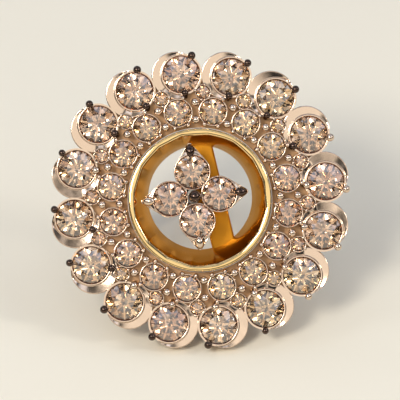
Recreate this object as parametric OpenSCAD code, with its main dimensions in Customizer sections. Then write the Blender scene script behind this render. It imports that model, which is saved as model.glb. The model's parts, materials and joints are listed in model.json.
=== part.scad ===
// Round cluster stud earring: a flower of swirled white metal petals set with round
// brilliants, a polished yellow gold collar round its open middle, and a blossom of
// four stones carried on a bar inside the collar. A plain ear post stands behind the
// bar. Millimetres. The stud lies as it rests by itself, on its two lowest petals and
// the tip of its post, with +Z up, +X to the right of the face and the origin on the
// table under the middle of its box.

/* [Flower] */
// Radius of the ring on which the outer stones' middles lie
outer_ring_r = 7.3; // [7.25:0.01:7.4]
// Radius of a petal's round rim
petal_r = 1.36; // [1.3:0.01:1.38]
// How far a petal's rim stands off its stone, counter-clockwise, which leaves the crescent
crescent_shift = 0.36; // [0.3:0.01:0.4]
// Depth of a petal's upright rim
petal_depth = 0.76; // [0.6:0.02:0.9]
// Thickness of the pierced plate behind the stones
plate_thickness = 1.2; // [1.1:0.05:1.4]

/* [Stones] */
// Diameter of the outer stones
outer_d = 2.1; // [1.9:0.05:2.1]
// Diameter of the inner stones
inner_d = 1.48; // [1.3:0.02:1.48]
// Radius of the ring of inner stones
inner_ring_r = 5.14; // [5.12:0.01:5.2]
// Diameter of the small stones between the petals
accent_d = 0.76; // [0.6:0.02:0.76]
// Radius of the ring of small stones
accent_ring_r = 6.2; // [6.15:0.01:6.3]
// Diameter of the four stones of the blossom
centre_d = 1.9; // [1.7:0.05:1.9]
// Gap left round each stone in its seat
seat_gap = 0.03; // [0.02:0.01:0.04]

/* [Collar] */
// Radius of the gold collar's front edge
collar_r = 4.12; // [4.05:0.01:4.12]
// Radius of the hole at the back of the collar
collar_hole_r = 3; // [2.95:0.05:3.2]
// Height of the collar's front edge over the outer stones' girdles
collar_front = 0.55; // [0.45:0.05:0.7]
// Depth of the collar's back behind the outer stones' girdles
collar_back = 2.6; // [2.4:0.05:2.8]
// Width of the bar across the back of the collar
bar_width = 1.4; // [1.2:0.1:1.6]

/* [Blossom] */
// Radius that the blossom's four pointed tips reach from its own middle
blossom_reach = 3.1; // [2.9:0.05:3.15]

/* [Post] */
// Radius of the ear post
post_r = 0.45; // [0.4:0.05:0.5]
// Length of the ear post behind the bar
post_length = 9.5; // [9:0.1:11]

/* [Hidden] */
$fn = 64;
petal_count = 16;
pitch = 360 / petal_count;

// A round brilliant's proportions, as shares of its diameter
table_share = 0.56;
star_share = 0.76;
crown_share = 0.15;
girdle_share = 0.03;
pavilion_share = 0.43;
half_share = 0.24;
bore_share = 0.5;
seat_open = 2;
bore_depth = 5;

// Each stone is turned by this much more than the one before, and tipped a little
stone_heading = 137.5;
stone_tip = 0.9;

// Heights of the stones' girdles over the outer stones' girdles
inner_z = 0.32;
accent_z = 0.14;
centre_z = 0.3;

// Each ring's turn: the lowest valley between two petals points straight down
petal_ring_r = norm([outer_ring_r, crescent_shift]);
petal_turn = pitch / 2 - 90;
outer_turn = petal_turn - atan2(crescent_shift, outer_ring_r);
inner_turn = outer_turn + 5.7;
accent_turn = outer_turn + 12.5;
shared_turn = inner_turn + pitch / 2;

// Metal round the stones
rim_top = 0.06;
rim_wall = 0.15;
inner_wall = 0.1;
accent_wall = 0.09;
plate_top = 0;
plate_r = 7.2;
collar_gap = 0.05;
cup_back = -plate_thickness;
cup_foot_r = 0.65;

// Claws: a short shank beside the stone, and a bead bent over its crown
claw_r = 0.18;
claw_tip_r = 0.12;
claw_bead_r = 0.24;
claw_lean = 14;
claw_root = 0.3;
claw_rise = 0.3;
bead_offset = 0.06;
bead_lift = 0.34;
shared_peg_r = 0.15;
shared_bead_r = 0.2;
shared_bead_rise = 0.42;
shared_inner_r = 4.62;
shared_outer_r = 5.62;

// Collar's section
collar_lip = 0.12;
collar_bevel = 0.06;
collar_skirt = 1.3;
collar_foot_wall = 0.32;
collar_land = 0.35;

// Blossom and the bar that carries it
blossom_turn = 6;
blossom_place = [-0.3, 0.2, 0];
blossom_ring_r = 1.42;
blossom_tip_r = 0.14;
tip_claw_length = 0.36;
blossom_wall = 0.1;
blossom_depth = 0.75;
blossom_bead_r = 0.48;
centre_peg_r = 0.3;
blossom_bead_lift = 0.36;
stem_r = 0.48;
bar_turn = 13.5;
bar_shift = 0.7;
bar_thickness = 0.6;
bar_pad_r = 0.9;
bar_reach = collar_hole_r + 0.15;
joint_gap = 0.04;

// Post
post_chamfer = 0.1;
post_root = -collar_back - joint_gap;
post_tip = post_root - post_length;

// The stud rests on the back rims of its two lowest petals and on its post's tip
petal_reach = petal_ring_r * cos(pitch / 2) + petal_r;
petal_back = rim_top - petal_depth;
lean = atan2(petal_reach - post_r, petal_back - post_tip - post_chamfer);
lift = petal_reach * cos(lean) - petal_back * sin(lean);

// How far the claws lean out in front and the post behind, which centres the base
claw_y = outer_ring_r * sin(outer_turn) + (outer_d / 2 + bead_offset) * sin(outer_turn - claw_lean);
front_reach = bead_lift * cos(lean) + claw_bead_r - claw_y * sin(lean);
back_reach = (post_r - post_chamfer) * sin(lean) - post_tip * cos(lean);
set_forward = (back_reach - front_reach) / 2;

white_metal = [0.86, 0.84, 0.81];
yellow_gold = [0.9, 0.68, 0.3];
diamond = [0.93, 0.95, 0.97];

// Points of a ring of n corners at a radius and a height, turned by a share of a step
function ring(n, r, z, turn = 0) =
    [for (i = [0:n - 1]) let (a = (i + turn) * 360 / n) [r * cos(a), r * sin(a), z]];

// Corners of a round brilliant: table, star tips, girdle above and below, half tips, culet.
// The star and half tips lie where the kite facets through them stay flat.
function brilliant_points(d) = let (
    girdle = d * girdle_share / 2,
    step = cos(360 / 16),
    star_rise = (1 - star_share * step) / (1 - table_share),
    half_drop = 1 - half_share * step
) concat(
    ring(8, d * table_share / 2, girdle + d * crown_share),
    ring(8, d * star_share / 2, girdle + d * crown_share * star_rise, 0.5),
    ring(16, d / 2, girdle),
    ring(16, d / 2, -girdle),
    ring(8, d * half_share / 2, -girdle - d * pavilion_share * half_drop, 0.5),
    [[0, 0, -girdle - d * pavilion_share]]
);

// Faces of that stone, clockwise seen from outside: table, stars, kites, upper halves,
// girdle, lower halves and pavilion kites
function brilliant_faces() = let (star = 8, upper = 16, lower = 32, half = 48, culet = 56) concat(
    [[for (i = [7:-1:0]) i]],
    [for (i = [0:7]) [i, (i + 1) % 8, star + i]],
    [for (i = [0:7]) [i, star + i, upper + 2 * i, star + (i + 7) % 8]],
    [for (i = [0:7]) [star + i, upper + 2 * i + 1, upper + 2 * i]],
    [for (i = [0:7]) [star + i, upper + (2 * i + 2) % 16, upper + 2 * i + 1]],
    [for (i = [0:15]) [upper + i, upper + (i + 1) % 16, lower + (i + 1) % 16, lower + i]],
    [for (i = [0:7]) [half + i, lower + 2 * i, lower + 2 * i + 1]],
    [for (i = [0:7]) [half + i, lower + 2 * i + 1, lower + (2 * i + 2) % 16]],
    [for (i = [0:7]) [culet, half + (i + 7) % 8, lower + 2 * i, half + i]]
);

// A round brilliant of diameter d, its girdle on the plane of zero height
module brilliant(d) polyhedron(brilliant_points(d), brilliant_faces(), convexity = 2);

// The same stone turned and tipped a little, as no two are set alike
module set_stone(d, number) {
    heading = number * stone_heading;
    rotate([stone_tip * cos(heading), stone_tip * sin(heading), heading]) brilliant(d);
}

// Lays the jewel down from face up to how it rests on the table
module laid_down() translate([0, -set_forward, lift]) rotate([90 - lean, 0, 0]) children();

// Puts a piece at place i of a ring
module at(ring_r, turn, z, i, step = pitch)
    rotate([0, 0, turn + i * step]) translate([ring_r, 0, z]) children();

// Repeats a piece round the flower
module all_round(ring_r, turn, z)
    for (i = [0:petal_count - 1]) at(ring_r, turn, z, i) children();

// The room cut for a stone: a straight way in, a cone under it and a bore for the light
module seat(d) {
    top_r = d / 2 + seat_gap;
    bore_r = d / 2 * bore_share;
    slope = 2 * pavilion_share;
    floor_z = -d * girdle_share / 2 - seat_gap / 2;
    cone_h = (top_r - bore_r) * slope;
    translate([0, 0, floor_z]) cylinder(h = seat_open, r = top_r);
    translate([0, 0, floor_z - cone_h]) cylinder(h = cone_h, r1 = bore_r, r2 = top_r);
    translate([0, 0, -bore_depth]) cylinder(h = bore_depth + floor_z - cone_h / 2, r = bore_r);
}

// A claw beside a stone, towards +X
module claw(d) {
    translate([d / 2 + seat_gap + claw_r, 0, -claw_root])
        cylinder(h = claw_root + claw_rise, r1 = claw_r, r2 = claw_tip_r);
    translate([d / 2 + bead_offset, 0, bead_lift]) sphere(claw_bead_r);
}

// A longer claw of the blossom, laid along a pointed tip towards +X
module tip_claw(d) {
    claw(d);
    translate([d / 2 + bead_offset, 0, bead_lift]) {
        rotate([0, 90, 0]) cylinder(h = tip_claw_length, r = claw_bead_r);
        translate([tip_claw_length, 0, 0]) sphere(claw_bead_r);
    }
    translate([d / 2 + bead_offset + tip_claw_length, 0, -claw_root])
        cylinder(h = claw_root + bead_lift, r = claw_r);
}

// A bead on a peg, shared by two stones
module shared_bead() {
    cylinder(h = shared_bead_rise, r = shared_peg_r);
    translate([0, 0, shared_bead_rise]) sphere(shared_bead_r);
}

// Outline of the petals: a rim round each stone and the rim that stands off beside it
module petal_outline() {
    all_round(petal_ring_r, petal_turn, 0) circle(petal_r);
    all_round(outer_ring_r, outer_turn, 0) circle(outer_d / 2 + rim_wall);
}

// Petals, pierced plate, cups and beads of the flower, before the stones' seats are cut
module flower_metal() {
    translate([0, 0, petal_back]) linear_extrude(petal_depth) difference() {
        petal_outline();
        circle(collar_r + collar_gap);
    }
    translate([0, 0, plate_top - plate_thickness]) linear_extrude(plate_thickness) difference() {
        circle(plate_r);
        circle(collar_r + collar_gap);
    }
    all_round(outer_ring_r, outer_turn, cup_back)
        cylinder(h = petal_back - cup_back, r1 = cup_foot_r, r2 = outer_d / 2 + rim_wall);
    all_round(inner_ring_r, inner_turn, 0)
        cylinder(h = inner_z + rim_top, r = inner_d / 2 + inner_wall);
    all_round(accent_ring_r, accent_turn, 0)
        cylinder(h = accent_z + rim_top, r = accent_d / 2 + accent_wall);
}

module flower_setting() color(white_metal) laid_down() {
    difference() {
        flower_metal();
        all_round(outer_ring_r, outer_turn, 0) seat(outer_d);
        all_round(inner_ring_r, inner_turn, inner_z) seat(inner_d);
        all_round(accent_ring_r, accent_turn, accent_z) seat(accent_d);
    }
    all_round(outer_ring_r, outer_turn, 0) {
        rotate([0, 0, -claw_lean]) claw(outer_d);
        rotate([0, 0, 180 - claw_lean]) claw(outer_d);
    }
    all_round(shared_inner_r, shared_turn, 0) shared_bead();
    all_round(shared_outer_r, shared_turn, 0) shared_bead();
}

// Section of the collar, from its rounded front edge back to its foot
function collar_section() = let (
    inner_front_r = collar_r - collar_lip,
    foot_r = collar_hole_r + collar_foot_wall
) [
    [collar_r, -collar_skirt],
    [collar_r, collar_front - collar_bevel],
    [collar_r - collar_bevel, collar_front],
    [inner_front_r, collar_front],
    [collar_hole_r, collar_land - collar_back],
    [collar_hole_r, -collar_back],
    [foot_r, -collar_back]
];

module gold_collar() color(yellow_gold) laid_down() {
    rotate_extrude() polygon(collar_section());
    translate([0, 0, -collar_back]) linear_extrude(bar_thickness) intersection() {
        circle(bar_reach);
        union() {
            rotate(bar_turn) translate([bar_shift, 0]) square([bar_width, 2 * collar_r], center = true);
            circle(bar_pad_r);
        }
    }
}

// Outline of a cup of the blossom about its stone: a circle drawn out to a rounded tip towards +X
module cup_outline() {
    cup_r = centre_d / 2 + blossom_wall;
    tip_x = blossom_reach - blossom_ring_r - blossom_tip_r;
    side = acos((cup_r - blossom_tip_r) / tip_x);
    circle(cup_r);
    translate([tip_x, 0]) circle(blossom_tip_r);
    polygon([
        [0, 0],
        [cup_r * cos(side), cup_r * sin(side)],
        [tip_x + blossom_tip_r * cos(side), blossom_tip_r * sin(side)],
        [tip_x + blossom_tip_r * cos(side), -blossom_tip_r * sin(side)],
        [cup_r * cos(side), -cup_r * sin(side)]
    ]);
}

module centre_setting() color(white_metal) laid_down() translate(blossom_place) {
    base = centre_z + rim_top - blossom_depth;
    stem_foot = bar_thickness - collar_back + joint_gap;
    difference() {
        union() {
            translate([0, 0, base]) linear_extrude(blossom_depth)
                for (i = [0:3]) at(blossom_ring_r, blossom_turn, 0, i, 90) cup_outline();
            translate([0, 0, stem_foot]) cylinder(h = centre_z - stem_foot, r = stem_r);
        }
        for (i = [0:3]) at(blossom_ring_r, blossom_turn, centre_z, i, 90) seat(centre_d);
    }
    for (i = [0:3]) at(blossom_ring_r, blossom_turn, centre_z, i, 90) tip_claw(centre_d);
    translate([0, 0, centre_z - claw_root]) cylinder(h = claw_root + claw_rise, r = centre_peg_r);
    translate([0, 0, centre_z + blossom_bead_lift]) sphere(blossom_bead_r);
}

module ear_post() color(yellow_gold) laid_down() {
    translate([0, 0, post_tip]) cylinder(h = post_chamfer, r1 = post_r - post_chamfer, r2 = post_r);
    translate([0, 0, post_tip + post_chamfer]) cylinder(h = post_length - post_chamfer, r = post_r);
}

module outer_stone(number) color(diamond) laid_down()
    at(outer_ring_r, outer_turn, 0, number - 1) set_stone(outer_d, number);

module inner_stone(number) color(diamond) laid_down()
    at(inner_ring_r, inner_turn, inner_z, number - 1) set_stone(inner_d, number + petal_count);

module centre_stone(number) color(diamond) laid_down() translate(blossom_place)
    at(blossom_ring_r, blossom_turn, centre_z, number - 1, 90) set_stone(centre_d, number + 2 * petal_count);

module accent_stones() color(diamond) laid_down()
    for (i = [1:petal_count]) at(accent_ring_r, accent_turn, accent_z, i - 1) set_stone(accent_d, i);

flower_setting();
gold_collar();
centre_setting();
ear_post();
accent_stones();
outer_stone(1);  // outer_stone_01
outer_stone(2);  // outer_stone_02
outer_stone(3);  // outer_stone_03
outer_stone(4);  // outer_stone_04
outer_stone(5);  // outer_stone_05
outer_stone(6);  // outer_stone_06
outer_stone(7);  // outer_stone_07
outer_stone(8);  // outer_stone_08
outer_stone(9);  // outer_stone_09
outer_stone(10);  // outer_stone_10
outer_stone(11);  // outer_stone_11
outer_stone(12);  // outer_stone_12
outer_stone(13);  // outer_stone_13
outer_stone(14);  // outer_stone_14
outer_stone(15);  // outer_stone_15
outer_stone(16);  // outer_stone_16
inner_stone(1);  // inner_stone_01
inner_stone(2);  // inner_stone_02
inner_stone(3);  // inner_stone_03
inner_stone(4);  // inner_stone_04
inner_stone(5);  // inner_stone_05
inner_stone(6);  // inner_stone_06
inner_stone(7);  // inner_stone_07
inner_stone(8);  // inner_stone_08
inner_stone(9);  // inner_stone_09
inner_stone(10);  // inner_stone_10
inner_stone(11);  // inner_stone_11
inner_stone(12);  // inner_stone_12
inner_stone(13);  // inner_stone_13
inner_stone(14);  // inner_stone_14
inner_stone(15);  // inner_stone_15
inner_stone(16);  // inner_stone_16
centre_stone(1);  // centre_stone_1
centre_stone(2);  // centre_stone_2
centre_stone(3);  // centre_stone_3
centre_stone(4);  // centre_stone_4
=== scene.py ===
"""A round cluster stud earring, as it rests by itself on a pale table.

The jewel is worked out face up about its own axis, in millimetres, and laid down by the place of
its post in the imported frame. White metal petals, claws, seats and plate, a yellow gold collar, a
blossom on a bar and an ear post are new surfaces. The cut stones are the frame's own solids.
"""

import json
import math
from types import SimpleNamespace

import bmesh
import bpy
import numpy as np
from bpy.props import FloatProperty, FloatVectorProperty, PointerProperty
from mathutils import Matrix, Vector


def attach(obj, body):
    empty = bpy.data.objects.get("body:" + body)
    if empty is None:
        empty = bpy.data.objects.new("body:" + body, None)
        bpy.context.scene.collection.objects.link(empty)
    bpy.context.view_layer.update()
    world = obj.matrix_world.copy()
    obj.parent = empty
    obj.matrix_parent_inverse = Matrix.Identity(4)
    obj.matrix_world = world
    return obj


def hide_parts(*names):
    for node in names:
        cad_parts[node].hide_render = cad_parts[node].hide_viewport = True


bl_info = {
    "name": "Cluster stud earring",
    "version": (1, 0, 0),
    "blender": (4, 5, 0),
    "location": "3D View > Sidebar > Earring",
    "description": "Builds the metalwork, the stones' finish and the stage of a round cluster stud",
    "category": "Mesh",
}

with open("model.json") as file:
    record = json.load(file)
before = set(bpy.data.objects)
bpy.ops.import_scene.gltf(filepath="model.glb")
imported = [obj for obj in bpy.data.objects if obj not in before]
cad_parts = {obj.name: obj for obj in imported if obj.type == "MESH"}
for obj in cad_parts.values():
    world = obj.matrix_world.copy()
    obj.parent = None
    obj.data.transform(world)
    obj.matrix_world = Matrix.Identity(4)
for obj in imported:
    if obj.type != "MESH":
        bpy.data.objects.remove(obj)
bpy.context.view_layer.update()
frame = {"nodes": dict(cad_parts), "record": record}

MM = 0.001
PETALS = 16
PITCH = 2 * math.pi / PETALS
BLOSSOM_CUPS = 4
# Petals, counted from the lowest towards +X, whose outer and inner claws have a painted dark
# reflection
PAINTED_DARK_OUTER = (0, 1, 6, 7, 8, 9, 10, 11, 12, 13, 14, 15)
PAINTED_DARK_INNER = (5, 6, 7, 8, 9, 10, 12, 13)
# Petals whose inner claws stand on their crescents
SWUNG_INNER = (12, 13)
# Petals whose crescents are dished deeper
DEEPER = (3, 4, 6, 11, 12, 13)
FILLET_STEPS = 5
SHARP_EDGE = math.radians(38)
# Points nearer than this, in metres, are merged
SAME_POINT = 2e-7

# Lengths from here to the lights are in millimetres
# A seat's light bore and half girdle as shares of its stone, and the slope of the cone under it
BORE_SHARE = 0.25
GIRDLE_SHARE = 0.015
CONE_SLOPE = 0.86
# Walls of the inner and of the small stones' seats, and how far these rise over the girdles
INNER_WALL, SMALL_WALL, SEAT_TOP = 0.07, 0.06, 0.06
# How far a foot is sunk into the plate, and the room left round a small stone
SUNK = 0.05
SMALL_ROOM = 0.05
# Width over which a crescent fades in, and how far its outer rim lies under the stone's rim
FADE = 0.16
OUTER_DROP = 0.045
# A claw's root, knee and tip: reach past its stone's edge, and height over the girdle
CLAW_ROOT, CLAW_KNEE, CLAW_TIP = (0.2, -0.3), (0.24, 0.2), (0.05, 0.31)
# A claw's radius at its root and under its bead
CLAW_SHANK, CLAW_NECK = 0.18, 0.13
# Further reach of outer and of swung inner claws, and how far knees, and tips and beads, stray
OUTER_OUT, SWUNG_OUT = 0.14, 0.1
KNEE_STRAY, STRAY = 0.03, 0.02
# A bead's peg: radii at its foot and top, and the height of its top
PEG_FOOT, PEG_NECK, PEG_TOP = 0.17, 0.15, 0.1
# Rings of shared beads, ring and share of the pitch of the slim ones, and these ones' shape
BEAD_RINGS = (4.62, 5.62)
SLIM_RINGS = ((4.36, -0.27), (4.36, 0.27), (5.93, 0.3))
SLIM_SHAPE = (0.64, 0.9)
# Grains: how far off their small stone they stand, how high, and where the first one stands
GRAIN_OFF, GRAIN_RISE = 0.075, 0.12
GRAIN_TURN = math.radians(80)
# The plate's cells: points along a side, the ring that splits them, and where their middle lies
CELL_POINTS, SPLIT_RING = 33, 5.72
CELL_TURN = math.radians(9.1)
# The collar's wall at its foot, the land over its hole, and the height where its outer taper ends
FOOT_WALL, LAND, SKIRT = 0.32, 0.35, -1.3
# How far the bar runs into the wall, and how much its edges are rounded
BAR_RUN, BAR_ROUNDING = 0.13, 0.13
# The blossom's cups: gap round a stone, heights of the rim round it and of the petal, and width
# and height of the chamfer under the petal
CUP_GAP, CUP_RIM, CUP_TOP, CUP_CHAMFER = 0.03, 0.09, 0.06, (0.3, 0.25)
# The stem: height of its foot on the bar, and width and height of the solder round it
STEM_FOOT, STEM_SOLDER = -2.0, (0.14, 0.22)
# Depth at which the solid post begins
POST_ROOT = 2.64
# The rod: height of its root, and widths and heights of its solder and of its rounded tip
ROD_ROOT, ROD_SOLDER, ROD_TIP = -2.6, (0.22, 0.24), (0.12, 0.25)
# How far its tip reaches past the mount
TIP_PAST = 0.1

# Lights: distance and sizes in metres, ways from the jewel, and the right one's share of the fill
LIGHT_DISTANCE, KEY_SIZE, SIDE_SIZE = 0.4, 0.1, 0.06
KEY_WAY, LEFT_WAY, RIGHT_WAY = (-0.37, -0.64, 0.67), (-1.0, -0.35, 0.55), (1.0, -0.3, 0.75)
RIGHT_SHARE = 2.2
# Half the table's side, in metres
TABLE_HALF = 3.0
# The room: scale, range and strengths of its patches, the heights over which it brightens, and
# its share of light below them
PATCH_SCALE, PATCH_RANGE, PATCH_LIGHT = 3.6, (0.44, 0.56), (0.08, 1.5)
DOME_RANGE, DOME_SHADE = (0.2, 0.6), 0.04
# Shares of the tent's half-width over which it fades in, and over which its patches fade out
TENT_FADE, TENT_EVEN = (1.2, 0.8), (0.75, 0.45)

# The post's mount gives the jewel's own axes: its face looks against the post
POST_MOUNT = frame["record"]["mounts"][0]
POST_END = -(POST_ROOT + POST_MOUNT["dims"]["length_mm"])
OUTWARD = -np.array(POST_MOUNT["axis"], float)
AXES = np.array([[1.0, 0.0, 0.0], np.cross(OUTWARD, (1.0, 0.0, 0.0)), OUTWARD])
ORIGIN = np.array(POST_MOUNT["pos_m"], float) - POST_END * MM * OUTWARD


# Sizes and colours

def length(name, description, mm):
    """A length property whose default is given in millimetres."""
    return FloatProperty(name=name, description=description, default=mm * MM, unit="LENGTH",
                         subtype="DISTANCE", precision=5)


def angle(name, description, degrees):
    """An angle property whose default is given in degrees."""
    return FloatProperty(name=name, description=description, default=math.radians(degrees),
                         unit="ROTATION", subtype="ANGLE")


def number(name, description, value, **more):
    """A property that is neither a length nor an angle."""
    return FloatProperty(name=name, description=description, default=value, **more)


def linear(hex_colour):
    """An sRGB hex colour as linear red, green and blue."""
    srgb = np.array([int(hex_colour[i:i + 2], 16) for i in (1, 3, 5)]) / 255
    low, high = srgb / 12.92, ((srgb + 0.055) / 1.055) ** 2.4
    return tuple(float(c) for c in np.where(srgb <= 0.04045, low, high))


def colour(name, description, hex_colour):
    """A colour property whose default is an sRGB hex colour."""
    return FloatVectorProperty(name=name, description=description, default=linear(hex_colour),
                               subtype="COLOR", size=3, min=0.0, max=1.0)


class FlowerSizes(bpy.types.PropertyGroup):
    """The white metal flower, about the jewel's own axis."""
    outer_ring: length("Outer ring", "Radius of the ring of outer stones", 7.3)
    outer_turn: angle("Outer turn", "Where the first outer stone lies, from the right", -81.5733)
    outer_stone: length("Outer stone", "Diameter of the outer stones", 2.1)
    petal: length("Petal", "Radius of a petal's outer rim", 1.36)
    crescent: length("Crescent", "How far a petal's rim stands off its stone", 0.36)
    dished: length("Dished", "How far a crescent's inner side lies below the rim", 0.105)
    dished_deeper: length("Dished deeper", "The same on the petals that are dished deeper", 0.145)
    petal_back: length("Petal back", "Height of a petal's back rim", -0.7)
    rim_wall: length("Rim wall", "Wall of the rim round an outer stone", 0.15)
    rim_top: length("Rim top", "Height of that rim over its stone's girdle", 0.08)
    foot: length("Cup foot", "Radius of a petal's cup at its foot", 0.65)
    inner_ring: length("Inner ring", "Radius of the ring of inner stones", 5.14)
    inner_turn: angle("Inner turn", "How far the inner stones are turned past the outer", 5.7)
    inner_stone: length("Inner stone", "Diameter of the inner stones", 1.48)
    inner_height: length("Inner height", "Height of the inner stones' girdles", 0.32)
    accent_ring: length("Small ring", "Radius of the ring of small stones", 6.2)
    accent_turn: angle("Small turn", "How far the small stones are turned past the outer", 12.5)
    accent_stone: length("Small stone", "Diameter of the small stones", 0.76)
    accent_height: length("Small height", "Height of the small stones' girdles", 0.14)
    seat_gap: length("Seat gap", "Gap round each stone in its seat", 0.03)
    plate: length("Plate", "Depth of the pierced plate's back", 1.2)
    hollow: length("Hollow", "Depth of the hollows between the seats", 0.4)
    plate_inner: length("Plate hole", "Radius of the hole in the plate", 4.17)
    plate_outer: length("Plate reach", "Radius that the plate reaches between the petals", 7.1)
    claw_bead: length("Claw bead", "Radius of the bead that ends an outer claw", 0.22)
    claw_lean: angle("Claw lean", "How far the outer claws stand off the spoke", -34)
    inner_claw_lean: angle("Inner claw lean", "How far the inner claws stand off it", 6)
    swing: angle("Swing", "How far the swung inner claws stand off the others", -48)
    claw_sway: angle("Claw sway", "How far a claw strays from its place", 5)
    shared_bead: length("Shared bead", "Radius of the beads between the inner stones", 0.23)
    grain: length("Grain", "Radius of the four grains that hold a small stone", 0.1)


class CollarSizes(bpy.types.PropertyGroup):
    """The yellow gold collar and its bar."""
    rim: length("Rim", "Radius of the collar's front edge", 4.12)
    lip: length("Lip", "Width of the rounded front edge", 0.32)
    hole: length("Hole", "Radius of the hole at the back", 3.0)
    front: length("Front", "Height of the front edge", 0.55)
    back: length("Back", "Height of the collar's back", -2.6)
    wave: length("Wave", "How far the hand-finished wall wanders", 0.03)
    flat: length("Flat", "Depth of the sixteen flats along the front edge", 0.05)
    dish: length("Dish", "How far the wall is dished between its edges", 0.14)
    drift: length("Drift", "How far the hole lies above the rim's middle", 0.15)
    bar_width: length("Bar width", "Width of the bar across the back", 1.4)
    bar_shift: length("Bar shift", "How far the bar lies to the right of the middle", 0.7)
    bar_turn: angle("Bar turn", "How far the bar is turned", 13.5)
    bar_thickness: length("Bar thickness", "Thickness of the bar", 0.6)
    bar_pad: length("Bar pad", "Radius of the round pad on the bar", 0.9)


class BlossomSizes(bpy.types.PropertyGroup):
    """The four stones in the middle and the post behind them."""
    right: length("Right", "How far the blossom lies right of the middle", -0.3)
    above: length("Above", "How far the blossom lies above the middle", 0.2)
    ring: length("Ring", "Radius of the ring of the four stones", 1.42)
    turn: angle("Turn", "How far the blossom is turned", 6)
    reach: length("Reach", "Radius that the four pointed tips reach", 3.1)
    tip: length("Tip", "Radius that rounds each tip", 0.14)
    stone: length("Stone", "Diameter of the four stones", 1.9)
    height: length("Height", "Height of their girdles", 0.3)
    depth: length("Depth", "Depth of their cups", 0.75)
    wall: length("Wall", "Wall of their cups", 0.1)
    bead: length("Bead", "Radius of the bead in the middle", 0.36)
    stem: length("Stem", "Radius of the stem", 0.46)
    post: length("Post", "Radius of the ear post", 0.45)


class Colours(bpy.types.PropertyGroup):
    """Colours of the metals, the stones and the table."""
    white_metal: colour("White metal", "Rhodium-plated white gold", "#E7CFB8")
    # The claws' dark colour is painted: a dark reflection of the room round the camera
    claw: colour("Claws", "White gold with its plating worn off", "#503A2C")
    # The hollows' darker colour is painted shade between the seats
    hollow: colour("Hollows", "White gold as cast, in the hollows", "#B08C69")
    yellow_gold: colour("Yellow gold", "Polished 22-carat gold", "#F5D598")
    filed_gold: colour("Filed gold", "22-carat gold left satin", "#D2922E")
    stone_light: colour("Stone, light", "A brilliant's palest facets", "#FCDAB2")
    stone_warm: colour("Stone, warm", "A brilliant's warmest facets", "#9C6840")
    table: colour("Table", "The pale table", "#F2EBD8")
    key_light: colour("Key light", "The studio's soft lights and tent", "#FFF9F0")
    room_light: colour("Room light", "The cool light of the room", "#E4ECFF")


class Stage(bpy.types.PropertyGroup):
    """The camera and the lights."""
    distance: length("Distance", "From the camera to the jewel's face", 260)
    view: length("View", "Width of what the camera sees at the face", 23)
    key: number("Key", "Power of the key light", 0.8, unit="POWER")
    fill: number("Fill", "Power of the left light", 0.12, unit="POWER")
    room: number("Room", "Strength of the room's light", 1.05, min=0.0)
    tent: angle("Tent", "Half-width of the bright tent round the camera", 35)
    tent_light: number("Tent light", "Strength of the tent", 1.15, min=0.0)
    squash: number("Squash", "How much lower than wide the tent is", 1.5, min=0.0)
    patches: number("Patches", "Which pattern of patches the room has", 5.0)


def in_mm(group):
    """A property group's values by name, lengths in millimetres and angles in radians."""
    values = {}
    for key, prop in group.bl_rna.properties.items():
        if prop.type == "FLOAT" and not prop.is_array:
            values[key] = getattr(group, key) / (MM if prop.unit == "LENGTH" else 1)
    return SimpleNamespace(**values)


# Surfaces

def filleted(corners, cuts, steps=FILLET_STEPS):
    """Rounds the corners of closed outlines (..., corner, 2). Each corner gives way to the curve
    (1-t)^2 start + 2t(1-t) corner + t^2 end, whose ends lie a cut away along its two sides, or just
    under half a side where the side is short."""
    corners = np.asarray(corners, float)
    cuts = np.broadcast_to(cuts, corners.shape[:-1])[..., None]

    def stepped(side):
        """A step along a side: the cut's length, or 0.48 of the side's if that is less."""
        size = np.linalg.norm(side, axis=-1, keepdims=True)
        return side / np.maximum(size, 1e-9) * np.minimum(cuts, 0.48 * size)

    start = corners + stepped(np.roll(corners, 1, -2) - corners)
    end = corners + stepped(np.roll(corners, -1, -2) - corners)
    t = np.linspace(0, 1, steps)[:, None]
    curve = ((1 - t) ** 2 * start[..., None, :] + 2 * t * (1 - t) * corners[..., None, :]
             + t ** 2 * end[..., None, :])
    return curve.reshape(*corners.shape[:-2], -1, 2)


def section_of(like, *corners):
    """A section (..., corner, 2) from corners of radius and height. Each is a number, or an array
    that spreads to the shape of the one given first."""
    return np.stack([np.stack(np.broadcast_arrays(np.asarray(r, float), z, like)[:2], -1)
                     for r, z in corners], axis=-2)


def turned(section, steps):
    """Turns a section of radius and height about the upright axis: the point at angle a is
    (r cos a, r sin a, z). A section may differ at each angle."""
    section = np.asarray(section, float)
    if section.ndim == 2:
        section = section[None]
    a = np.arange(steps)[:, None] * 2 * np.pi / steps
    x, y = section[..., 0] * np.cos(a), section[..., 0] * np.sin(a)
    return np.stack([x, y, np.broadcast_to(section[..., 1], x.shape)], -1)


def ringed(points, ring, turn, height, count):
    """Copies surfaces round a ring: pushed out by its radius, lifted, and turned to each place."""
    a = (turn + 2 * np.pi / count * np.arange(count))[:, None, None]
    x, y, z = points[..., 0] + ring, points[..., 1], points[..., 2] + height
    turned_x, turned_y = np.cos(a) * x - np.sin(a) * y, np.sin(a) * x + np.cos(a) * y
    return np.stack([turned_x, turned_y, np.broadcast_to(z, turned_x.shape)], -1)


def spun(points, turn):
    """Turns surfaces about the upright axis, each by its own angle if there are several."""
    x, y = points[..., 0], points[..., 1]
    c, s = np.cos(turn), np.sin(turn)
    return np.stack([c * x - s * y, s * x + c * y, points[..., 2]], -1)


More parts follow.
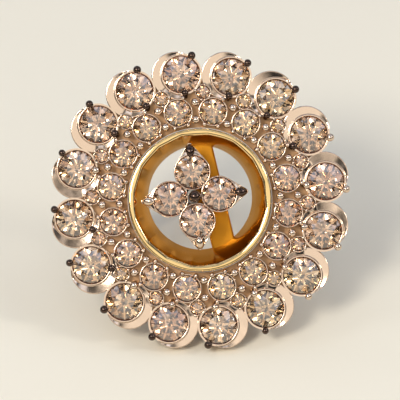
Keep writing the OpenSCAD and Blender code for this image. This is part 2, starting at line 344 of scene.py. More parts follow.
def bead_claw(root, knee, tip, shank, neck, bead, along=12, cap=7):
    """A claw's path (..., point, 2) of reach and height, and its radii. The path is the curve
    (1-t)^2 root + 2t(1-t) knee + t^2 tip and runs straight on through the bead. The radius is the
    larger of the tapered shank and the bead's ball at that distance along."""
    root, knee, tip = (np.asarray(p, float)[..., None, :] for p in (root, knee, tip))
    bead = np.asarray(bead, float)[..., None]
    t = np.linspace(0, 1, along)[:, None] ** 0.7
    bend = (1 - t) ** 2 * root + 2 * t * (1 - t) * knee + t ** 2 * tip
    ahead = (tip - knee) / np.linalg.norm(tip - knee, axis=-1, keepdims=True)
    out = np.sin(np.linspace(0, np.pi / 2, cap + 1)[1:])[:, None]
    path = np.concatenate([bend, tip + ahead * bead[..., None] * out], axis=-2)
    steps = np.linalg.norm(np.diff(path, axis=-2), axis=-1)
    travel = np.concatenate([np.zeros_like(steps[..., :1]), np.cumsum(steps, -1)], -1)
    middle = travel[..., along - 1:along]
    ball = np.sqrt(np.maximum(bead ** 2 - (travel - middle) ** 2, 0))
    taper = shank + (neck - shank) * np.minimum(travel / middle, 1)
    radii = np.where(travel <= middle, np.maximum(taper, ball), ball)
    radii[..., -1] = 0
    path = np.concatenate([path[..., :1, :], path], -2)
    return path, np.concatenate([np.zeros_like(radii[..., :1]), radii], -1)


def tubed(path, radii, steps):
    """Round tubes along paths in an upright plane: the ring about a point is the point plus
    radius times (cos b times the path's normal + sin b across the plane)."""
    ahead = np.gradient(path, axis=-2)
    ahead[..., 0, :] = ahead[..., 1, :]
    ahead /= np.linalg.norm(ahead, axis=-1, keepdims=True)
    b = np.arange(steps)[:, None] * 2 * np.pi / steps
    path, ahead, radii = path[..., None, :, :], ahead[..., None, :, :], radii[..., None, :]
    x = path[..., 0] - radii * np.cos(b) * ahead[..., 1]
    z = path[..., 1] + radii * np.cos(b) * ahead[..., 0]
    return np.stack([x, radii * np.sin(b), z], -1)


def skin(grid, wrap_u=True, wrap_v=False):
    """Quads between the neighbouring points of surfaces (..., u, v, 3)."""
    grid = np.asarray(grid, float)
    grid = grid.reshape(-1, *grid.shape[-3:])
    index = np.arange(grid[..., 0].size).reshape(grid.shape[:3])
    if wrap_u:
        index = np.concatenate([index, index[:, :1]], 1)
    if wrap_v:
        index = np.concatenate([index, index[:, :, :1]], 2)
    quads = np.stack([index[:, :-1, :-1], index[:, 1:, :-1],
                      index[:, 1:, 1:], index[:, :-1, 1:]], -1)
    return grid.reshape(-1, 3), quads.reshape(-1, 4)


def make_piece(name, surfaces, material, *stands_for, slot="white_metal"):
    """Makes one mesh of surfaces in millimetres, laid down in its place: along + across + outward
    axes times the point, from the jewel's middle. Seams and poles are merged, faces look out."""
    starts = np.cumsum([0] + [len(points) for points, _ in surfaces[:-1]])
    points = np.concatenate([points for points, _ in surfaces])
    faces = np.concatenate([quads + start for (_, quads), start in zip(surfaces, starts)])
    mesh = bpy.data.meshes.new(name)
    mesh.from_pydata(points @ AXES * MM + ORIGIN, [], faces)
    work = bmesh.new()
    work.from_mesh(mesh)
    bmesh.ops.remove_doubles(work, verts=work.verts, dist=SAME_POINT)
    bmesh.ops.recalc_face_normals(work, faces=work.faces)
    work.to_mesh(mesh)
    work.free()
    mesh.polygons.foreach_set("use_smooth", np.ones(len(mesh.polygons), bool))
    mesh.set_sharp_from_angle(angle=SHARP_EDGE)
    mesh.materials.append(material)
    piece = bpy.data.objects.new(name, mesh)
    bpy.context.scene.collection.objects.link(piece)
    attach(piece, "root")
    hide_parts(*stands_for)


def seat_measures(stone, gap):
    """Radii of a stone's seat and light bore, and heights over its girdle of the seat's floor and
    of the place where the cone under it meets the bore."""
    seat, bore = stone / 2 + gap, stone * BORE_SHARE
    floor = -stone * GIRDLE_SHARE - gap / 2
    return seat, bore, floor, floor - (seat - bore) * CONE_SLOPE


def seat_section(stone, gap, wall, top, foot):
    """Closed section of a seat, from its outer foot up, over its rim and down the stone's cone to
    the light bore. Heights are over the stone's girdle."""
    rim, bore, floor, cone = seat_measures(stone, gap)
    foot = min(foot, cone)
    return np.array([[rim + wall, foot], [rim + wall, top], [rim, top], [rim, floor],
                     [bore, cone], [bore, foot - 0.001]])


# Materials

def add(tree, kind, settings=(), inputs=()):
    """Adds one node with its settings. An input is given a value, or a socket to link from."""
    made = tree.nodes.new(kind)
    for key, value in dict(settings).items():
        setattr(made, key, value)
    for key, value in dict(inputs).items():
        if isinstance(value, bpy.types.NodeSocket):
            tree.links.new(value, made.inputs[key])
        else:
            made.inputs[key].default_value = value
    return made


def material(name, **sockets):
    """A node material, its tree, and its Principled shader with the given values in its sockets.
    One that is there already comes without the last two."""
    made = bpy.data.materials.get(name)
    if made:
        return made, None, None
    made = bpy.data.materials.new(name)
    made.use_nodes = True
    tree = made.node_tree
    tree.nodes.clear()
    shader = add(tree, "ShaderNodeBsdfPrincipled", inputs=sockets)
    add(tree, "ShaderNodeOutputMaterial", inputs={"Surface": shader.outputs["BSDF"]})
    return made, tree, shader


def polished(name, metal, base, shade, roughness, worn_and_painted_dark, scratch_depth, film=0.0):
    """Polished precious metal. Noise 0.9 mm wide clouds its colour and gloss, as plating and
    handling do, and fine polishing lines 0.05 mm apart lift its surface a little. A film, as from
    handling, adds a white light of its own. Base and shade are shares of the metal's colour."""
    made, tree, shader = material(name, Metallic=1.0)
    if tree is None:
        return made
    own = np.array(getattr(bpy.context.scene.earring_colours, metal))
    shader.inputs["Coat Weight"].default_value = film
    shader.inputs["Coat Roughness"].default_value = 0.12
    place = add(tree, "ShaderNodeTexCoord").outputs["Object"]
    cloud = add(tree, "ShaderNodeTexNoise", inputs={"Vector": place, "Scale": 1 / (0.9 * MM),
                                                    "Detail": 3.0, "Roughness": 0.6})
    tint = add(tree, "ShaderNodeMix", {"data_type": "RGBA"}, {
        0: cloud.outputs["Fac"], 6: (*(own * shade), 1.0), 7: (*(own * base), 1.0)})
    gloss = add(tree, "ShaderNodeMapRange", inputs={
        "Value": cloud.outputs["Fac"], "From Min": 0.3, "From Max": 0.7,
        "To Min": roughness, "To Max": worn_and_painted_dark})
    stretch = add(tree, "ShaderNodeMapping", inputs={"Vector": place, "Scale": (1.0, 0.22, 0.22)})
    lines = add(tree, "ShaderNodeTexNoise", inputs={"Vector": stretch.outputs["Vector"],
                                                    "Scale": 1 / (0.05 * MM), "Detail": 2.0})
    relief = add(tree, "ShaderNodeBump", inputs={
        "Height": lines.outputs["Fac"], "Strength": 0.25, "Distance": scratch_depth * MM})
    tree.links.new(tint.outputs[2], shader.inputs["Base Color"])
    tree.links.new(gloss.outputs["Result"], shader.inputs["Roughness"])
    tree.links.new(relief.outputs["Normal"], shader.inputs["Normal"])
    return made


def white_metal():
    """Rhodium-plated white gold, cast, tumbled and polished: bright, a little warm, with soft
    cloudy gloss where the plating is thinner."""
    return polished("rhodium plated white gold, polished", "white_metal", 1, 0.86, 0.06, 0.2,
                    0.004)


def painted_dark_claw_metal():
    """White gold claws whose dark base colour is a painted dark reflection of the room round the
    camera, burnished by the setter's cup tool: mirror-like, with one small sharp light."""
    return polished("white gold, burnished, painted dark reflection", "claw", 1, 0.7, 0.1, 0.2, 0.002, 0.6)


def cast_metal_painted_shade():
    """White gold as cast, in the hollows that no polishing wheel reaches: dull, with a skin of 0.05
    mm grains. Its darker colour is painted shade between the seats."""
    return polished("white gold, as cast, painted shade", "hollow", 1, 0.6, 0.3, 0.5, 0.012)


def yellow_gold():
    """22-carat yellow gold, turned and hand polished: deep warm reflections with a wavy gloss."""
    return polished("22 carat yellow gold, hand polished", "yellow_gold", 1, (0.95, 0.9, 0.8),
                    0.05, 0.13, 0.004, 0.25)


def post_gold_painted_shade():
    """The same gold drawn to wire and left satin by its polishing cloth. Its colour is darkened as
    painted shade, for the collar's wall to reflect.
    """
    # Shares below the gold's own colour: painted shade for the collar's wall to reflect
    return polished("22 carat yellow gold, satin, painted shade", "yellow_gold", (0.78, 0.66, 0.5),
                    (0.7, 0.54, 0.34), 0.36, 0.5, 0.008)


def bar_gold():
    """The same gold as it leaves the file, satin and unpolished: even, deep orange yellow."""
    return polished("22 carat yellow gold, filed", "filed_gold", 1, (0.95, 0.85, 0.6), 0.34, 0.45,
                    0.01)


def cut_diamond(name, tone):
    """Diamond cut as round brilliants and polished on a wheel: flat clear facets with no texture
    of their own. Each facet's direction picks its tint, and noise 5 mm wide makes whole stones a
    little greener or pinker, as stones from several lots are."""
    colours = bpy.context.scene.earring_colours
    made, tree, shader = material(name, Roughness=0.0, IOR=2.42)
    if tree is None:
        return made
    shader.inputs["Transmission Weight"].default_value = 1.0
    facet = add(tree, "ShaderNodeNewGeometry").outputs["True Normal"]
    chance = add(tree, "ShaderNodeTexWhiteNoise", {"noise_dimensions": "3D"}, {"Vector": facet})
    light, warm = np.array(colours.stone_light) * tone, np.array(colours.stone_warm) * tone
    tint = add(tree, "ShaderNodeMix", {"data_type": "RGBA"}, {
        0: chance.outputs["Value"], 6: (*light, 1.0), 7: (*warm, 1.0)})
    place = add(tree, "ShaderNodeTexCoord").outputs["Object"]
    lot = add(tree, "ShaderNodeTexNoise", inputs={
        "Vector": place, "Scale": 1 / (5 * MM), "Detail": 0.0})
    share = add(tree, "ShaderNodeMapRange", inputs={
        "Value": lot.outputs["Fac"], "From Min": 0.35, "From Max": 0.65})
    cast = add(tree, "ShaderNodeMix", {"data_type": "RGBA"}, {
        0: share.outputs["Result"], 6: (1.0, 0.93, 0.96, 1.0), 7: (0.98, 1.0, 0.9, 1.0)})
    toned = add(tree, "ShaderNodeMix", {"data_type": "RGBA", "blend_type": "MULTIPLY"}, {
        0: 1.0, 6: tint.outputs[2], 7: cast.outputs[2]})
    tree.links.new(toned.outputs[2], shader.inputs["Base Color"])
    return made


def large_stone():
    """The outer and middle brilliants, faintly champagne."""
    return cut_diamond("diamond, brilliant cut", 1.0)


def small_stone():
    """The smaller brilliants, picked a shade browner."""
    return cut_diamond("diamond, small brilliants", (0.95, 0.87, 0.76))


def table_paper():
    """Matt coated paper board: even and pale, with a tooth of about 0.3 mm that only softens it."""
    made, tree, shader = material("matt paper board", Roughness=0.85)
    if tree is None:
        return made
    shader.inputs["Specular IOR Level"].default_value = 0.2
    base = np.array(bpy.context.scene.earring_colours.table)
    place = add(tree, "ShaderNodeTexCoord").outputs["Object"]
    tooth = add(tree, "ShaderNodeTexNoise", inputs={"Vector": place, "Scale": 1 / (0.3 * MM)})
    tint = add(tree, "ShaderNodeMix", {"data_type": "RGBA"}, {
        0: tooth.outputs["Fac"], 6: (*(base * 0.985), 1.0), 7: (*base, 1.0)})
    relief = add(tree, "ShaderNodeBump", inputs={
        "Height": tooth.outputs["Fac"], "Strength": 0.1, "Distance": 0.02 * MM})
    tree.links.new(tint.outputs[2], shader.inputs["Base Color"])
    tree.links.new(relief.outputs["Normal"], shader.inputs["Normal"])
    return made


# Pieces

def clear_of(reach, a, centre, radius):
    """Shortens rays at angles a so that they end outside a circle, where d is how far its centre
    lies and e the angle to it: d cos e - sqrt(radius^2 - d^2 sin^2 e)."""
    far = math.hypot(*centre)
    off = a - math.atan2(centre[1], centre[0])
    inside = radius ** 2 - (far * np.sin(off)) ** 2
    near = far * np.cos(off) - np.sqrt(np.maximum(inside, 0))
    return np.where((inside > 0) & (np.cos(off) > 0), np.minimum(reach, near), reach)


class EARRING_OT_petals(bpy.types.Operator):
    """Sixteen cupped petals, each a rim round its stone and a dished crescent beside it"""
    bl_idname = "earring.petals"
    bl_label = "Petals"

    def execute(self, context):
        s = in_mm(context.scene.earring_flower)
        seat, bore, floor, cone = seat_measures(s.outer_stone, s.seat_gap)
        wall = s.outer_stone / 2 + s.rim_wall
        steps = 112
        a = np.arange(steps) * 2 * np.pi / steps
        # A petal's rim is a circle whose middle lies c off its stone, so at angle a it reaches
        # c sin a + sqrt(petal^2 - c^2 cos^2 a)
        reach = s.crescent * np.sin(a) + np.sqrt(s.petal ** 2 - (s.crescent * np.cos(a)) ** 2)
        reach = np.maximum(reach, wall)
        for turn in (s.accent_turn, s.accent_turn - PITCH):
            centre = (s.accent_ring * math.cos(turn) - s.outer_ring, s.accent_ring * math.sin(turn))
            reach = clear_of(reach, a, centre, s.accent_stone / 2 + SMALL_ROOM)
        # The dish fades in as 3w^2 - 2w^3, where w is the crescent's width as a share of FADE
        width = np.maximum(reach - wall, 0)
        ease = np.clip(width / FADE, 0, 1)
        ease = ease * ease * (3 - 2 * ease)
        rim = np.minimum(reach, wall)
        deeper = np.isin(np.arange(PETALS), DEEPER)[:, None]
        dish = np.where(deeper, s.dished_deeper, s.dished) * ease
        bevel = 0.03
        section = section_of(
            dish, (seat, floor), (seat, s.rim_top), (rim - bevel, s.rim_top),
            (rim, s.rim_top - dish), (reach, s.rim_top - OUTER_DROP * ease), (reach, s.petal_back),
            (rim, s.petal_back), (s.foot, -s.plate), (bore, -s.plate), (bore, cone))
        cuts = [0.0, 0.025, 0.025, 0.03, 0.07, 0.07, 0.03, 0.05, 0.04, 0.03]
        shell = turned(filleted(section, cuts), steps)
        grid = ringed(shell, s.outer_ring, s.outer_turn, 0, PETALS)
        make_piece("petals", [skin(grid, True, True)], white_metal(), "flower_setting")
        return {"FINISHED"}


class EARRING_OT_claws(bpy.types.Operator):
    """Two beaded claws on each outer stone, and beads and grains round the other ones"""
    bl_idname = "earring.claws"
    bl_label = "Claws and beads"

    def execute(self, context):
        s = in_mm(context.scene.earring_flower)
        rng = np.random.default_rng(7)
        edge = s.outer_stone / 2
        painted_dark_surfaces, plated_surfaces = [], []
        swung = np.isin(np.arange(PETALS), SWUNG_INNER)
        outer_lean = np.full(PETALS, s.claw_lean)
        inner_lean = math.pi + s.inner_claw_lean + s.swing * swung
        for lean, out, worn_and_painted_dark in ((outer_lean, OUTER_OUT, PAINTED_DARK_OUTER),
                                (inner_lean, SWUNG_OUT * swung, PAINTED_DARK_INNER)):
            sway = rng.uniform(-1, 1, (PETALS, 4))
            root, knee, tip = (np.tile((edge + reach, height), (PETALS, 1))
                               for reach, height in (CLAW_ROOT, CLAW_KNEE, CLAW_TIP))
            knee[:, 1] += KNEE_STRAY * sway[:, 0]
            tip += np.stack([out + STRAY * sway[:, 1], STRAY * sway[:, 0]], -1)
            path, radii = bead_claw(root, knee, tip, CLAW_SHANK, CLAW_NECK,
                                    s.claw_bead + STRAY * sway[:, 2])
            turn = (lean + s.claw_sway * sway[:, 3])[:, None, None]
            claws = ringed(spun(tubed(path, radii, 24), turn), s.outer_ring, s.outer_turn, 0,
                           PETALS)
            # Claws on the listed petals take the painted dark reflection, the rest stay plated
            dark = np.isin(np.arange(PETALS), worn_and_painted_dark)
            painted_dark_surfaces.append(skin(claws[dark]))
            plated_surfaces.append(skin(claws[~dark]))
        make_piece("outer_claws_painted_dark", painted_dark_surfaces, painted_dark_claw_metal(), "flower_setting")
        make_piece("outer_claws_plated", plated_surfaces, white_metal(), "flower_setting")

        # A bead is a tapered peg with a ball on it, whose outline is (R cos b, top + R sin b)
        ball = np.linspace(-0.75, np.pi / 2, 12)
        top = s.inner_height + 0.1
        foot = -s.hollow - SUNK
        section = np.concatenate([
            [[0, foot], [PEG_FOOT, foot], [PEG_NECK, PEG_TOP]],
            np.stack([s.shared_bead * np.cos(ball), top + s.shared_bead * np.sin(ball)], -1)])
        section[-1, 0] = 0
        bead = turned(section, 24)
        turn = s.outer_turn + s.inner_turn + PITCH / 2
        beads = [skin(ringed(bead, ring, turn, 0, PETALS)) for ring in BEAD_RINGS]
        slim = turned(section * SLIM_SHAPE, 20)
        beads += [skin(ringed(slim, ring, turn + share * PITCH, 0, PETALS))
                  for ring, share in SLIM_RINGS]
        make_piece("shared_beads", beads, white_metal(), "flower_setting")

        grain = section * (s.grain / s.shared_bead, 1)
        grain[3:, 1] = s.accent_height + GRAIN_RISE + s.grain * np.sin(ball)
        small = turned(grain, 16) + (s.accent_stone / 2 + GRAIN_OFF, 0, 0)
        grains = [skin(ringed(spun(small, GRAIN_TURN + k * math.pi / 2), s.accent_ring,
                              s.outer_turn + s.accent_turn, 0, PETALS)) for k in range(4)]
        make_piece("small_grains", grains, white_metal(), "flower_setting")
        return {"FINISHED"}


class EARRING_OT_seats(bpy.types.Operator):
    """The thin-walled seats of the inner stones and of the small stones between the petals"""
    bl_idname = "earring.seats"
    bl_label = "Seats"

    def execute(self, context):
        s = in_mm(context.scene.earring_flower)
        for name, stone, ring, turn, height, wall in (
                ("inner_seats", s.inner_stone, s.inner_ring, s.inner_turn, s.inner_height,
                 INNER_WALL),
                ("small_seats", s.accent_stone, s.accent_ring, s.accent_turn, s.accent_height,
                 SMALL_WALL)):
            section = seat_section(stone, s.seat_gap, wall, SEAT_TOP, -height - s.hollow - SUNK)
            section = filleted(section, [0, 0.03, 0.02, 0.0, 0.02, 0.0])
            grid = ringed(turned(section, 64), ring, s.outer_turn + turn, height, PETALS)
            make_piece(name, [skin(grid, True, True)], white_metal(), "flower_setting")
        return {"FINISHED"}


def pierced(inner, outer, hole, radius, top, bottom, ease):
    """A cell of plate between two radii with a round hole. The cell's edge runs round it, and each
    point of the surface lies on the straight line from the hole's edge to the cell's edge:
    hole + direction times (radius + offset + share of the way to the edge)."""
    n = len(inner)
    half = PITCH / 2
    a = np.linspace(-half, half, n)
    side = np.linspace(inner[0], outer[0], n // 2)
    r = np.concatenate([inner[:-1], side[:-1], outer[::-1][:-1], side[::-1][:-1]])
    turn = np.concatenate([a[:-1], np.full(len(side) - 1, half), a[::-1][:-1],
                           np.full(len(side) - 1, -half)])
    edge = np.stack([r * np.cos(turn), r * np.sin(turn)], -1)
    away = edge - hole
    far = np.linalg.norm(away, axis=-1, keepdims=True)
    bevel = 0.04
    offset = np.array([0, 0, bevel, 0, 0, ease, 0, 0])
    share = np.array([1, 0.5, 0, 0, 0, 0, 0.5, 1])
    height = np.array([bottom, bottom, bottom, bottom + bevel, top - ease, top, top, top])
    out = radius + offset + share * (far - radius)
    flat = hole + (away / far)[:, None, :] * out[..., None]
    return np.concatenate([flat, np.broadcast_to(height[:, None], out.shape + (1,))], -1)


def wall(radii, top, bottom):
    """The upright wall that closes a plate at given radii across one cell: the point at angle a
    and height z is (r cos a, r sin a, z)."""
    a = np.linspace(-PITCH / 2, PITCH / 2, len(radii))
    rows = [np.stack([radii * np.cos(a), radii * np.sin(a), np.full(len(a), z)], -1)
            for z in (bottom, top)]
    return np.stack(rows, 1)


class EARRING_OT_back_plate(bpy.types.Operator):
    """The pierced plate behind the stones, with a light hole under each and a scalloped edge"""
    bl_idname = "earring.back_plate"
    bl_label = "Back plate"

    def execute(self, context):
        s = in_mm(context.scene.earring_flower)
        a = np.linspace(-PITCH / 2, PITCH / 2, CELL_POINTS)
        inner, between, outer = (np.full(CELL_POINTS, radius)
                                 for radius in (s.plate_inner, SPLIT_RING, s.plate_outer))
        scallop = s.outer_stone / 2 + 0.07
        for turn in (-CELL_TURN, PITCH - CELL_TURN):
            centre = (s.outer_ring * math.cos(turn), s.outer_ring * math.sin(turn))
            outer = clear_of(outer, a, centre, scallop)

        def hole(ring, turn):
            """A hole's middle, at angle t from the cell's middle: (ring cos t, ring sin t)."""
            return ring * np.array([math.cos(turn - CELL_TURN), math.sin(turn - CELL_TURN)])

        grids = [
            pierced(inner, between, hole(s.inner_ring, s.inner_turn),
                    s.inner_stone * BORE_SHARE, -s.hollow, -s.plate, 0.08),
            pierced(between, outer, hole(s.accent_ring, s.accent_turn),
                    s.accent_stone * BORE_SHARE, -s.hollow, -s.plate, 0.09)]
        first = s.outer_turn + CELL_TURN
        surfaces = [skin(ringed(grid, 0, first, 0, PETALS)) for grid in grids]
        surfaces += [skin(ringed(wall(radii, -s.hollow, -s.plate), 0, first, 0, PETALS), False)
                     for radii in (inner, outer)]
        # The plate's darker colour is painted shade in the hollows
        make_piece("back_plate", surfaces, cast_metal_painted_shade(), "flower_setting")
        return {"FINISHED"}


class EARRING_OT_collar(bpy.types.Operator):
    """The polished gold collar, whose hand-finished wall wanders a little, and its bar"""
    bl_idname = "earring.collar"
    bl_label = "Gold collar"

    def execute(self, context):
        s = in_mm(context.scene.earring_collar)
        steps = 256
        a = np.arange(steps) * 2 * np.pi / steps
        # The flats are parabolas, deepest at their middles, and the wall wanders by the sum of
        # waves of five and of nine to the turn
        flats = np.abs((a * PETALS / (2 * np.pi) + 0.3) % 1 - 0.5) * 2
        wave = s.wave * (0.6 * np.cos(5 * a + 1.3) + 0.4 * np.cos(9 * a + 2.1))
        filed = wave - s.flat * (1 - flats ** 2) * (1 + 0.4 * np.cos(3 * a))
        lift = 0.5 * (wave - s.wave)
        inner = s.rim - s.lip
        hole = s.hole + s.drift * np.sin(a)
        section = section_of(
            a, (hole + FOOT_WALL, s.back), (s.rim, SKIRT), (s.rim, s.front + lift),
            (inner + filed, s.front + lift),
            ((inner + hole) / 2 - s.dish + wave, (s.front + s.back + LAND) / 2),
            (hole + 0.4 * wave, s.back + LAND), (hole, s.back))
        section = filleted(section, [0.06, 0.2, 0.15, 0.15, 0.45, 0.12, 0.06], 8)
        ring = turned(section, steps)
        make_piece("collar_ring", [skin(ring, True, True)], yellow_gold(), "gold_collar",
                   slot="yellow_gold")

        # At y the bar's sides lie on its straight edges or, where that is wider, on the pad's
        # circle sqrt(pad^2 - y^2), and both stop at the wall's circle
        left, right = s.bar_shift - s.bar_width / 2, s.bar_shift + s.bar_width / 2
        y = (s.hole + BAR_RUN) * np.sin(np.linspace(-1, 1, 81) * np.pi / 2) * 0.999
        pad = np.sqrt(np.maximum(s.bar_pad ** 2 - y ** 2, 0))
        stop = np.sqrt((s.hole + BAR_RUN) ** 2 - y ** 2)
        low = np.maximum(np.minimum(left, -pad), -stop)
        high = np.minimum(np.maximum(right, pad), stop)
        top = s.back + s.bar_thickness
        corners = section_of(y, (low, s.back), (high, s.back), (high, top), (low, top))
        outline = filleted(corners, BAR_ROUNDING, 7)
        grid = np.stack([outline[..., 0], np.broadcast_to(y[:, None], outline.shape[:2]),
                         outline[..., 1]], -1)
        caps = grid[[0, -1]].mean(axis=1, keepdims=True) * np.ones((1, grid.shape[1], 1))
        grid = np.concatenate([caps[:1], grid, caps[1:]], axis=0).swapaxes(0, 1)
        grid = spun(grid, s.bar_turn) + (0, s.drift, 0)
        make_piece("collar_bar", [skin(grid)], bar_gold(), "gold_collar", slot="yellow_gold")
        return {"FINISHED"}


def pointed(radius, tip, reach, a):
    """A circle drawn out to a rounded tip towards angle 0, as reach over angle: the circle's own
    radius, then the straight tangent R / cos(a - side), then the tip's small circle."""
    far = reach - tip
    side = math.acos((radius - tip) / far)
    off = np.abs((a + np.pi) % (2 * np.pi) - np.pi)
    straight = radius / np.cos(np.minimum(np.abs(off - side), 1.4))
    inside = tip ** 2 - (far * np.sin(off)) ** 2
    end = far * np.cos(off) + np.sqrt(np.maximum(inside, 0))
    meets = math.atan2(tip * math.sin(side), far + tip * math.cos(side))
    return np.where(off > side, radius, np.where(off > meets, straight, end))


class EARRING_OT_blossom(bpy.types.Operator):
    """The blossom of four pointed cups with its tip claws, its middle bead and its stem"""
    bl_idname = "earring.blossom"
    bl_label = "Blossom"

    def execute(self, context):
        s = in_mm(context.scene.earring_blossom)
        place = np.array([s.right, s.above, 0])
        seat, bore, floor, cone = seat_measures(s.stone, CUP_GAP)
        cup = s.stone / 2 + s.wall
        # A cup's section at each angle runs from its seat to the pointed outline. The angles lie
        # closer together near the tip
        near, side = np.linspace(-1, 1, 49), 0.9
        rest = np.linspace(side, 2 * np.pi - side, 64)[1:-1]
        a = np.concatenate([near ** 3 * 0.5 + near * 0.4, rest])
        reach = pointed(cup, s.tip, s.reach - s.ring, a)
        base = CUP_TOP - s.depth
        out = reach - cup
        section = section_of(
            a, (seat, floor), (seat, CUP_RIM), (seat + 0.05, CUP_RIM),
            (seat + 0.06 + 0.5 * out, CUP_TOP - 0.1 * np.minimum(out, 0.3)), (reach, CUP_TOP),
            (reach, base + CUP_CHAMFER[1]), (reach - CUP_CHAMFER[0], base), (bore, base),
            (bore, cone))
        outline = filleted(section, [0.0, 0.02, 0.02, 0.05, 0.04, 0.12, 0.12, 0.03, 0.03])
        across, sine = outline[..., 0], np.sin(a)[:, None]
        shell = np.stack([across * np.cos(a)[:, None], across * sine, outline[..., 1]], -1)
        grid = ringed(shell, s.ring, s.turn, s.height, BLOSSOM_CUPS) + place
        make_piece("blossom_cups", [skin(grid, True, True)], white_metal(), "centre_setting")

        # A tip claw arches in from its cup's tip over its stone's edge, as a sine of its run, and
        # its radius swells as the root of a sine
        edge = s.stone / 2
        far = s.reach - s.ring - s.tip
        t = np.linspace(0, 1, 28)
        arch = 0.16 + 0.34 * np.sin(np.pi * t * 0.62) - 0.05 * t
        spine = np.stack([far - (far - edge + 0.06) * t, arch], -1)
        swell = 0.02 + 0.25 * np.sqrt(np.clip(np.sin(np.pi * t ** 0.8), 0, None))
        swell[[0, -1]] = 0
        claw = tubed(spine[None], swell[None], 32)
        grid = ringed(claw, s.ring, s.turn, s.height, BLOSSOM_CUPS) + place
        # The top and right tip claws take the painted dark reflection, the others stay plated
        make_piece("blossom_claws_painted_dark", [skin(grid[:2])], painted_dark_claw_metal(), "centre_setting")
        make_piece("blossom_claws_plated", [skin(grid[2:])], white_metal(), "centre_setting")

        ball = np.linspace(-0.8, np.pi / 2, 18)
        top = s.height + 0.36
        wide, high = STEM_SOLDER
        stem = filleted([[0, STEM_FOOT], [s.stem + wide, STEM_FOOT], [s.stem, STEM_FOOT + high],
                         [s.stem, -0.5], [0.3, 0.1], [0.28, 0.25]], [0, 0.02, 0.12, 0.2, 0.1, 0])
        dome = np.stack([s.bead * np.cos(ball), top + s.bead * np.sin(ball)], -1)
        dome[-1, 0] = 0
        section = np.concatenate([stem, dome])
        # The middle bead and its stem take the painted dark reflection too
        make_piece("blossom_bead", [skin(turned(section, 64) + place)], painted_dark_claw_metal(),
                   "centre_setting")
        return {"FINISHED"}


class EARRING_OT_post(bpy.types.Operator):
    """The ear post: a plain rod with a solder fillet at its root and a rounded tip"""
    bl_idname = "earring.post"
    bl_label = "Ear post"

    def execute(self, context):
        s = in_mm(context.scene.earring_blossom)
        tip, r = POST_END - TIP_PAST, s.post
        (wide, high), (inset, rise) = ROD_SOLDER, ROD_TIP
        corners = [[0, ROD_ROOT], [r + wide, ROD_ROOT], [r, ROD_ROOT - high], [r, tip + rise],
                   [r - inset, tip], [0, tip]]
        section = filleted(corners, [0, 0.02, 0.12, 0.12, 0.1, 0])
        # The rod's darkened gold is painted shade that the collar's wall reflects
        make_piece("post_rod", [skin(turned(section, 48))], post_gold_painted_shade(), "ear_post",
                   slot="yellow_gold")
        return {"FINISHED"}


class EARRING_OT_stones(bpy.types.Operator):
    """Gives the frame's own cut stones their diamond finish"""
    bl_idname = "earring.stones"
    bl_label = "Stones"

    def execute(self, context):
        for name, node in frame["nodes"].items():
            if "stone" in name:
                node.data.materials.clear()
                small = name.startswith(("inner", "accent"))
                node.data.materials.append(small_stone() if small else large_stone())
        return {"FINISHED"}


# Stage

def softbox(name, aim, direction, size, power, tint):
    """A square area light that looks at a point from a direction."""
    light = bpy.data.lights.new(name, "AREA")
    light.shape, light.size, light.energy, light.color = "SQUARE", size, power, tint
    placed = bpy.data.objects.new(name, light)
    way = Vector(direction).normalized()
    placed.location = aim + way * LIGHT_DISTANCE
    placed.rotation_euler = way.to_track_quat("Z", "Y").to_euler()
    bpy.context.scene.collection.objects.link(placed)


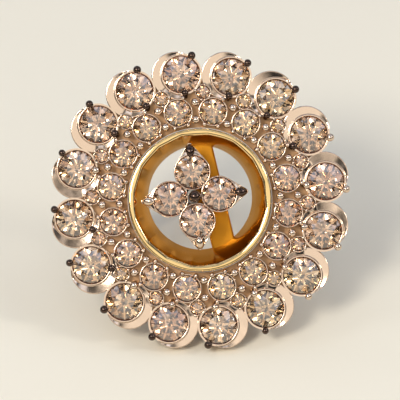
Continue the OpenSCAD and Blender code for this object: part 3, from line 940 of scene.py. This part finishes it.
class EARRING_OT_stage(bpy.types.Operator):
    """A pale table, soft studio light and a camera square to the jewel's face"""
    bl_idname = "earring.stage"
    bl_label = "Stage"

    def execute(self, context):
        scene = context.scene
        stage, colours = scene.earring_stage, scene.earring_colours
        face = Vector(ORIGIN)

        mesh = bpy.data.meshes.new("table_top")
        corners = TABLE_HALF * np.array([(-1, -1, 0), (1, -1, 0), (1, 1, 0), (-1, 1, 0)])
        mesh.from_pydata(corners, [], [(0, 1, 2, 3)])
        mesh.materials.append(table_paper())
        table = bpy.data.objects.new("table_top", mesh)
        scene.collection.objects.link(table)

        tint = tuple(colours.key_light)
        softbox("key", face, KEY_WAY, KEY_SIZE, stage.key, tint)
        softbox("left_strip", face, LEFT_WAY, SIDE_SIZE, stage.fill, tint)
        softbox("right_strip", face, RIGHT_WAY, SIDE_SIZE, RIGHT_SHARE * stage.fill, tint)

        world = bpy.data.worlds.new("room")
        world.use_nodes = True
        tree = world.node_tree
        tree.nodes.clear()
        way = add(tree, "ShaderNodeTexCoord").outputs["Generated"]
        patches = add(tree, "ShaderNodeTexNoise", {"noise_dimensions": "4D"}, {
            "Vector": way, "W": stage.patches, "Scale": PATCH_SCALE, "Detail": 1.0})
        spread = add(tree, "ShaderNodeMapRange", inputs={
            "Value": patches.outputs["Fac"],
            "From Min": PATCH_RANGE[0], "From Max": PATCH_RANGE[1],
            "To Min": PATCH_LIGHT[0], "To Max": PATCH_LIGHT[1]})
        ahead, rise = (add(tree, "ShaderNodeVectorMath", {"operation": "DOT_PRODUCT"}, {
            0: way, 1: tuple(axis)}).outputs["Value"] for axis in (OUTWARD, AXES[1]))
        squared = add(tree, "ShaderNodeMath", {"operation": "MULTIPLY"}, {0: rise, 1: rise})
        towards = add(tree, "ShaderNodeMath", {"operation": "MULTIPLY_ADD"}, {
            0: squared.outputs["Value"], 1: -stage.squash, 2: ahead})
        tent, card = (add(tree, "ShaderNodeMapRange", {"interpolation_type": "SMOOTHSTEP"}, {
            "Value": towards.outputs["Value"], "From Min": math.cos(stage.tent * outer),
            "From Max": math.cos(stage.tent * inner)}) for outer, inner in (TENT_FADE, TENT_EVEN))
        evened = add(tree, "ShaderNodeMix", inputs={
            0: card.outputs["Result"], 2: spread.outputs["Result"], 3: 1.0})
        height = add(tree, "ShaderNodeSeparateXYZ", inputs={"Vector": way})
        dome = add(tree, "ShaderNodeMapRange", {"interpolation_type": "SMOOTHSTEP"}, {
            "Value": height.outputs["Z"], "From Min": DOME_RANGE[0], "From Max": DOME_RANGE[1],
            "To Min": DOME_SHADE * stage.room, "To Max": stage.room})
        strength = add(tree, "ShaderNodeMix", inputs={
            0: tent.outputs["Result"], 2: dome.outputs["Result"], 3: stage.tent_light})
        lit = add(tree, "ShaderNodeMath", {"operation": "MULTIPLY"}, {
            0: strength.outputs[0], 1: evened.outputs[0]})
        tone = add(tree, "ShaderNodeMix", {"data_type": "RGBA"}, {
            0: tent.outputs["Result"], 6: (*colours.room_light, 1.0), 7: (*tint, 1.0)})
        light = add(tree, "ShaderNodeBackground", inputs={
            "Color": tone.outputs[2], "Strength": lit.outputs["Value"]})
        add(tree, "ShaderNodeOutputWorld", inputs={"Surface": light.outputs["Background"]})
        scene.world = world

        lens = bpy.data.cameras.new("camera")
        lens.sensor_width = 36.0
        lens.lens = lens.sensor_width * stage.distance / stage.view
        lens.clip_start, lens.clip_end = 0.01, 20.0
        camera = bpy.data.objects.new("camera", lens)
        camera.location = face + Vector(OUTWARD) * stage.distance
        camera.rotation_euler = Vector(OUTWARD).to_track_quat("Z", "Y").to_euler()
        scene.collection.objects.link(camera)
        scene.camera = camera

        scene.view_settings.view_transform = "Standard"
        scene.cycles.max_bounces = 20
        scene.cycles.transmission_bounces = 16
        scene.cycles.glossy_bounces = 8
        scene.cycles.sample_clamp_indirect = 8.0
        return {"FINISHED"}


PIECES = (EARRING_OT_petals, EARRING_OT_claws, EARRING_OT_seats, EARRING_OT_back_plate,
          EARRING_OT_collar, EARRING_OT_blossom, EARRING_OT_post, EARRING_OT_stones,
          EARRING_OT_stage)
GROUPS = {"earring_flower": FlowerSizes, "earring_collar": CollarSizes,
          "earring_blossom": BlossomSizes, "earring_colours": Colours, "earring_stage": Stage}


class EARRING_PT_panel(bpy.types.Panel):
    """Lists the pieces in the order in which they are made, then their sizes and colours"""
    bl_idname = "EARRING_PT_panel"
    bl_label = "Cluster stud earring"
    bl_space_type = "VIEW_3D"
    bl_region_type = "UI"
    bl_category = "Earring"

    def draw(self, context):
        column = self.layout.column(align=True)
        for operator in PIECES:
            column.operator(operator.bl_idname)
        for name in GROUPS:
            group = getattr(context.scene, name)
            box = self.layout.box()
            for key in group.__annotations__:
                box.prop(group, key)


def register():
    """Registers the classes and gives scenes their properties."""
    for made in (*GROUPS.values(), *PIECES, EARRING_PT_panel):
        bpy.utils.register_class(made)
    for name, group in GROUPS.items():
        setattr(bpy.types.Scene, name, PointerProperty(type=group))


def unregister():
    """Takes away what register adds."""
    for name in GROUPS:
        delattr(bpy.types.Scene, name)
    for made in (EARRING_PT_panel, *PIECES, *GROUPS.values()):
        bpy.utils.unregister_class(made)


def main():
    """Registers the classes and makes every piece."""
    register()
    for operator in PIECES:
        getattr(bpy.ops.earring, operator.bl_idname.split(".")[1])()


if __name__ == "__main__":
    main()
